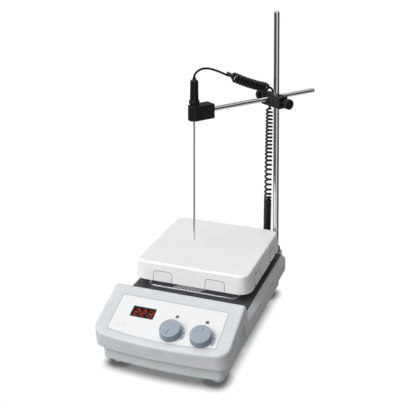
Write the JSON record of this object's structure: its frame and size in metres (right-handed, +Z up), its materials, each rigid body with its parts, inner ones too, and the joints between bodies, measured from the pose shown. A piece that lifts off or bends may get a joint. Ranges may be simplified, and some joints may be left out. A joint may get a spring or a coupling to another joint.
{
  "type": "magnetic stirrer with heated plate and temperature probe",
  "caption": "Square hot plate on a wedge-fronted housing with a red display, control knobs and a rear rod that carries a temperature probe on a coiled cable.",
  "frame": {"origin": "centre of the work plate's top face, on the stirring axis", "axes": "+Z up along the stirring axis, +X to the operator's right, -Y towards the operator and the knobs"},
  "size_m": [0.2447, 0.4292, 0.501],
  "materials": {
    "housing_paint": "satin light grey powder coat",
    "tub_paint": "satin mid grey powder coat",
    "deck_paint": "matt dark grey coat",
    "foot_rubber": "matt black rubber",
    "screw_steel": "zinc plated",
    "overlay_film": "fine matt printed film",
    "window_lens": "smoked clear lens",
    "display_black": "black display face",
    "digit_red": "red light bars",
    "lamp_lens": "milky lamp lens",
    "circuit_board": "green solder mask",
    "component_metal": "plain cast or drawn metal",
    "plate_enamel": "white ceramic coating on aluminium",
    "tab_plastic": "white heat-resistant plastic",
    "post_steel": "turned steel",
    "heater_metal": "heat-stained casting",
    "insulation_board": "soft mineral fibre board",
    "bright_sheet": "bright rolled sheet",
    "core_steel": "varnished laminations",
    "bearing_steel": "ground bearing steel",
    "ribbon_grey": "flat ribbon cable",
    "block_plastic": "cream terminal plastic",
    "lead_sleeve": "glass-fibre sleeving",
    "black_plastic": "moulded black",
    "cable_black": "glossy black polyurethane jacket",
    "knob_cap": "bluish grey satin",
    "pointer_white": "white inlay",
    "shaft_steel": "ground steel",
    "magnet_nickel": "nickel plated magnet",
    "rocker_plastic": "moulded black",
    "rod_steel": "polished stainless steel",
    "grip_black": "satin black",
    "sheath_steel": "polished stainless tube"
  },
  "bodies": {
    "base": {"upper_housing": "housing_paint", "lower_tub": "tub_paint", "deck_plate": "deck_paint", "feet": "foot_rubber", "screws": "screw_steel", "overlay_panel": "overlay_film", "display_window": "window_lens", "display_module": "display_black", "display_digits": "digit_red", "indicator_lenses": "lamp_lens", "display_board": "circuit_board", "potentiometers": "component_metal", "work_plate": "plate_enamel", "skirt_tabs": "tab_plastic", "plate_posts": "post_steel", "heating_element": "heater_metal", "insulation_pad": "insulation_board", "insulation_cover": "bright_sheet", "plate_sensor": "screw_steel", "heat_shield_pan": "bright_sheet", "motor_bracket": "bright_sheet", "motor_can": "component_metal", "motor_stator": "core_steel", "motor_bearings": "bearing_steel", "main_board": "circuit_board", "power_transformer": "core_steel", "ribbon_cable": "ribbon_grey", "terminal_block": "block_plastic", "wiring": "lead_sleeve", "mains_inlet": "black_plastic", "switch_frame": "black_plastic", "sensor_socket": "black_plastic", "sensor_plug": "black_plastic", "lower_cable": "cable_black"},
    "heat_dial": {"heat_knob": "knob_cap", "heat_pointer": "pointer_white", "heat_shaft": "shaft_steel"},
    "speed_dial": {"speed_knob": "knob_cap", "speed_pointer": "pointer_white", "speed_shaft": "shaft_steel"},
    "drive": {"motor_rotor": "core_steel", "motor_shaft": "shaft_steel", "magnet_carrier": "component_metal", "drive_magnets": "magnet_nickel"},
    "rocker": {"power_rocker": "rocker_plastic"},
    "rod": {"support_rod": "rod_steel", "rod_collar": "grip_black"},
    "clamp": {"clamp_block": "grip_black", "upper_cable": "cable_black", "hanging_coil": "cable_black"},
    "rod_screw": {"rod_thumb_screw": "grip_black"},
    "arm_screw": {"arm_thumb_screw": "grip_black"},
    "arm": {"cross_arm": "rod_steel", "probe_lead_rear": "cable_black"},
    "holder": {"probe_holder": "grip_black", "holder_screw": "screw_steel"},
    "probe": {"probe_handle": "grip_black", "probe_sheath": "sheath_steel", "probe_lead_front": "cable_black"}
  },
  "joints": [
    {"name": "heat_knob_turn", "type": "hinge", "parent": "base", "child": "heat_dial", "pos_m": [0.0122, -0.20932, -0.04419], "axis": [0, -0.3584, 0.9336], "range_deg": [-290, 0]},
    {"name": "speed_knob_turn", "type": "hinge", "parent": "base", "child": "speed_dial", "pos_m": [0.0597, -0.20932, -0.04419], "axis": [0, -0.3584, 0.9336], "range_deg": [-112, 178]},
    {"name": "motor_spin", "type": "hinge", "parent": "base", "child": "drive", "pos_m": [0, 0, 0], "axis": [0, 0, 1], "continuous": true},
    {"name": "power_rocker_tilt", "type": "hinge", "parent": "base", "child": "rocker", "pos_m": [-0.014, 0.10345, -0.083], "axis": [1, 0, 0], "range_deg": [-14, 0]},
    {"name": "rod_turn", "type": "hinge", "parent": "base", "child": "rod", "pos_m": [0.0872, 0.103, 0.233], "axis": [0, 0, 1], "range_deg": [-40, 60]},
    {"name": "clamp_slide", "type": "slide", "parent": "rod", "child": "clamp", "axis": [0, 0, 1], "range_m": [-0.01, 0.12], "deforming": ["hanging_coil"]},
    {"name": "rod_screw_turn", "type": "hinge", "parent": "clamp", "child": "rod_screw", "pos_m": [0.0872, 0.103, 0.231], "axis": [0.8181, -0.575, 0], "range_deg": [0, 120]},
    {"name": "arm_screw_turn", "type": "hinge", "parent": "clamp", "child": "arm_screw", "pos_m": [0.07738, 0.1099, 0.233], "axis": [0.8181, -0.575, 0], "range_deg": [-120, 0]},
    {"name": "arm_slide", "type": "slide", "parent": "clamp", "child": "arm", "axis": [-0.575, -0.8181, 0], "range_m": [0, 0.085]},
    {"name": "holder_tilt", "type": "hinge", "parent": "arm", "child": "holder", "pos_m": [0.07738, 0.1099, 0.233], "axis": [-0.575, -0.8181, 0], "range_deg": [-8, 8]},
    {"name": "probe_slide", "type": "slide", "parent": "holder", "child": "probe", "axis": [0, 0, 1], "range_m": [0, 0.15]}
  ]
}
